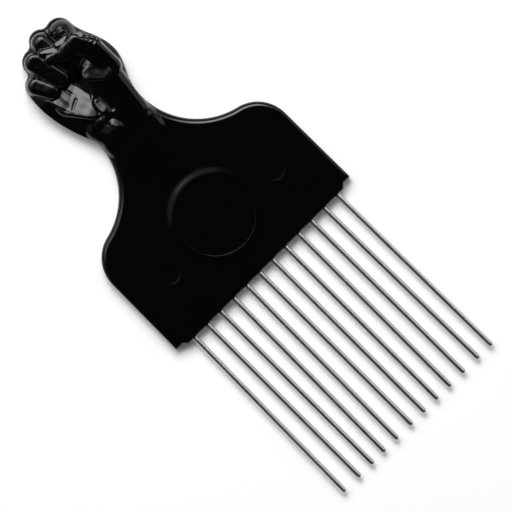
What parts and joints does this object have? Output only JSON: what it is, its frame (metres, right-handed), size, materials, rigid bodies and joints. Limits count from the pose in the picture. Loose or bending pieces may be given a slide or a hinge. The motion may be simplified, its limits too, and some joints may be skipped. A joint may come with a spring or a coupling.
{
  "type": "afro pick",
  "caption": "Hair pick with a long row of round steel wire tines in a flat moulded plastic handle whose grip is a raised fist.",
  "frame": {"origin": "middle of the pick's length and width, on the surface that its flat back lies on", "axes": "+Y along the tines towards the fist, +Z out of the front face, +X to the right seen from the front"},
  "size_m": [0.0786, 0.1752, 0.01],
  "materials": {
    "black_plastic": "high-gloss moulded, with fine handling scratches",
    "tine_steel": "bright drawn wire"
  },
  "bodies": {
    "root": {"handle": "black_plastic", "tine_01": "tine_steel", "tine_02": "tine_steel", "tine_03": "tine_steel", "tine_04": "tine_steel", "tine_05": "tine_steel", "tine_06": "tine_steel", "tine_07": "tine_steel", "tine_08": "tine_steel", "tine_09": "tine_steel", "tine_10": "tine_steel", "tine_11": "tine_steel", "tine_12": "tine_steel"}
  },
  "joints": []
}
